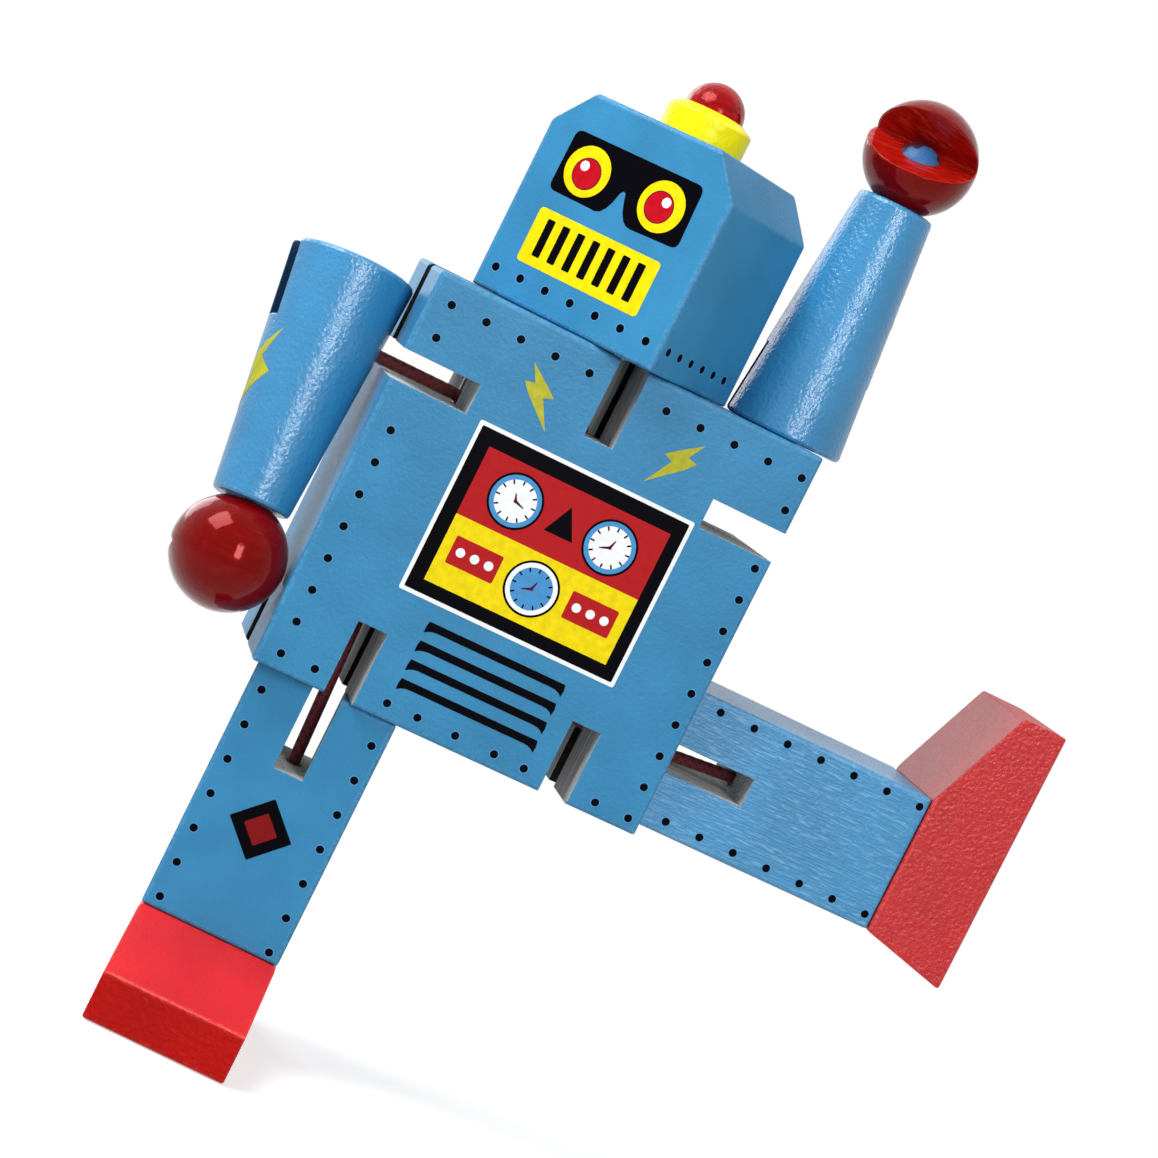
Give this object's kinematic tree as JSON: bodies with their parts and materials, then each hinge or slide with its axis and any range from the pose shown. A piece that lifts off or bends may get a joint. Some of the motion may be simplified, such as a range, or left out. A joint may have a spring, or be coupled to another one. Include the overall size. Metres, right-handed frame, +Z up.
{
  "type": "toy robot",
  "caption": "Painted wooden toy robot whose blocks, turned arms and ball hands are threaded on elastic cord so that each can be pulled, turned and swung.",
  "frame": {"origin": "middle of the sole of the foot that the robot stands on, its viewer's left one", "axes": "+Z up, +X to the viewer's right along the torso's width, -Y the way the torso faces"},
  "size_m": [0.1764, 0.0646, 0.222],
  "materials": {
    "blue_painted_wood": "satin paint over close-grained wood",
    "yellow_painted_wood": "satin paint",
    "glossy_red_wood": "gloss lacquer over red stain",
    "satin_red_wood": "satin paint",
    "elastic_cord": "braided cover over a rubber core"
  },
  "bodies": {
    "torso": {"torso_block": "blue_painted_wood", "left_side_cord": "elastic_cord", "right_side_cord": "elastic_cord", "neck_cord": "elastic_cord", "neck_knot": "elastic_cord"},
    "neck": {"neck_stretch_cord": "elastic_cord"},
    "head": {"head_block": "blue_painted_wood", "head_cord": "elastic_cord", "head_knot": "elastic_cord", "lamp_collar": "yellow_painted_wood", "lamp_ball": "glossy_red_wood"},
    "left_shoulder": {"left_shoulder_cord": "elastic_cord"},
    "left_arm": {"left_arm": "blue_painted_wood", "left_arm_cord": "elastic_cord"},
    "left_hand": {"left_hand_ball": "glossy_red_wood", "left_hand_bead": "blue_painted_wood", "left_hand_knot": "elastic_cord"},
    "right_shoulder": {"right_shoulder_cord": "elastic_cord"},
    "right_arm": {"right_arm": "blue_painted_wood", "right_arm_cord": "elastic_cord"},
    "right_hand": {"right_hand_ball": "glossy_red_wood", "right_hand_bead": "blue_painted_wood", "right_hand_knot": "elastic_cord"},
    "left_hip": {"left_hip_cord": "elastic_cord"},
    "left_leg_core": {"left_leg_cord": "elastic_cord"},
    "left_leg": {"left_leg": "blue_painted_wood"},
    "left_foot": {"left_foot": "satin_red_wood", "left_foot_knot": "elastic_cord", "left_sole_plug": "satin_red_wood"},
    "right_hip": {"right_hip_cord": "elastic_cord"},
    "right_leg_core": {"right_leg_cord": "elastic_cord"},
    "right_leg": {"right_leg": "blue_painted_wood"},
    "right_foot": {"right_foot": "satin_red_wood", "right_foot_knot": "elastic_cord", "right_sole_plug": "satin_red_wood"}
  },
  "joints": [
    {"name": "head_lift", "type": "slide", "parent": "torso", "child": "neck", "axis": [0, 0, 1], "range_m": [0, 0.008], "stiffness_N_per_m": 200, "springref_m": -0.04, "deforming": ["neck_stretch_cord"]},
    {"name": "head_turn", "type": "hinge", "parent": "neck", "child": "head", "pos_m": [0.01864, 0.00844, 0.1511], "axis": [0, 0, 1], "continuous": true},
    {"name": "left_arm_pull", "type": "slide", "parent": "torso", "child": "left_shoulder", "axis": [-1, 0, 0], "range_m": [0, 0.008], "stiffness_N_per_m": 200, "springref_m": -0.04, "deforming": ["left_shoulder_cord"]},
    {"name": "left_arm_swing", "type": "hinge", "parent": "left_shoulder", "child": "left_arm", "pos_m": [-0.02961, 0.00844, 0.1307], "axis": [-1, 0, 0], "continuous": true},
    {"name": "left_hand_turn", "type": "hinge", "parent": "left_arm", "child": "left_hand", "pos_m": [-0.02876, -0.00111, 0.08576], "axis": [0.0184, -0.2079, -0.978], "continuous": true},
    {"name": "right_arm_pull", "type": "slide", "parent": "torso", "child": "right_shoulder", "axis": [0, 0, 1], "range_m": [0, 0.008], "stiffness_N_per_m": 200, "springref_m": -0.04, "deforming": ["right_shoulder_cord"]},
    {"name": "right_arm_turn", "type": "hinge", "parent": "right_shoulder", "child": "right_arm", "pos_m": [0.05884, 0.00844, 0.1511], "axis": [0, 0, 1], "continuous": true},
    {"name": "right_hand_turn", "type": "hinge", "parent": "right_arm", "child": "right_hand", "pos_m": [0.05884, 0.00844, 0.2108], "axis": [0, 0, 1], "continuous": true},
    {"name": "left_leg_swing", "type": "hinge", "parent": "torso", "child": "left_hip", "pos_m": [0.00134, -0.00955, 0.0706], "axis": [-1, 0, 0], "range_deg": [0, 90], "stiffness_Nm_per_rad": 0.05, "springref_deg": -143.24, "deforming": ["left_hip_cord"]},
    {"name": "left_leg_pull", "type": "slide", "parent": "left_hip", "child": "left_leg_core", "axis": [0, 0, -1], "range_m": [0, 0.008], "stiffness_N_per_m": 200, "springref_m": -0.04},
    {"name": "left_leg_turn", "type": "hinge", "parent": "left_leg_core", "child": "left_leg", "pos_m": [0.00134, 0.00844, 0.0705], "axis": [0, 0, 1], "continuous": true},
    {"name": "left_foot_turn", "type": "hinge", "parent": "left_leg", "child": "left_foot", "pos_m": [0.00134, 0.00844, 0.019], "axis": [0, 0, 1], "continuous": true},
    {"name": "right_leg_swing", "type": "hinge", "parent": "torso", "child": "right_hip", "pos_m": [0.06374, 0.00844, 0.0706], "axis": [0, 1, 0], "range_deg": [0, 90], "stiffness_Nm_per_rad": 0.05, "springref_deg": -143.24, "deforming": ["right_hip_cord"]},
    {"name": "right_leg_pull", "type": "slide", "parent": "right_hip", "child": "right_leg_core", "axis": [1, 0, 0], "range_m": [0, 0.008], "stiffness_N_per_m": 200, "springref_m": -0.04},
    {"name": "right_leg_turn", "type": "hinge", "parent": "right_leg_core", "child": "right_leg", "pos_m": [0.06384, 0.00844, 0.0867], "axis": [1, 0, 0], "continuous": true},
    {"name": "right_foot_turn", "type": "hinge", "parent": "right_leg", "child": "right_foot", "pos_m": [0.11524, 0.00844, 0.0867], "axis": [1, 0, 0], "continuous": true}
  ]
}
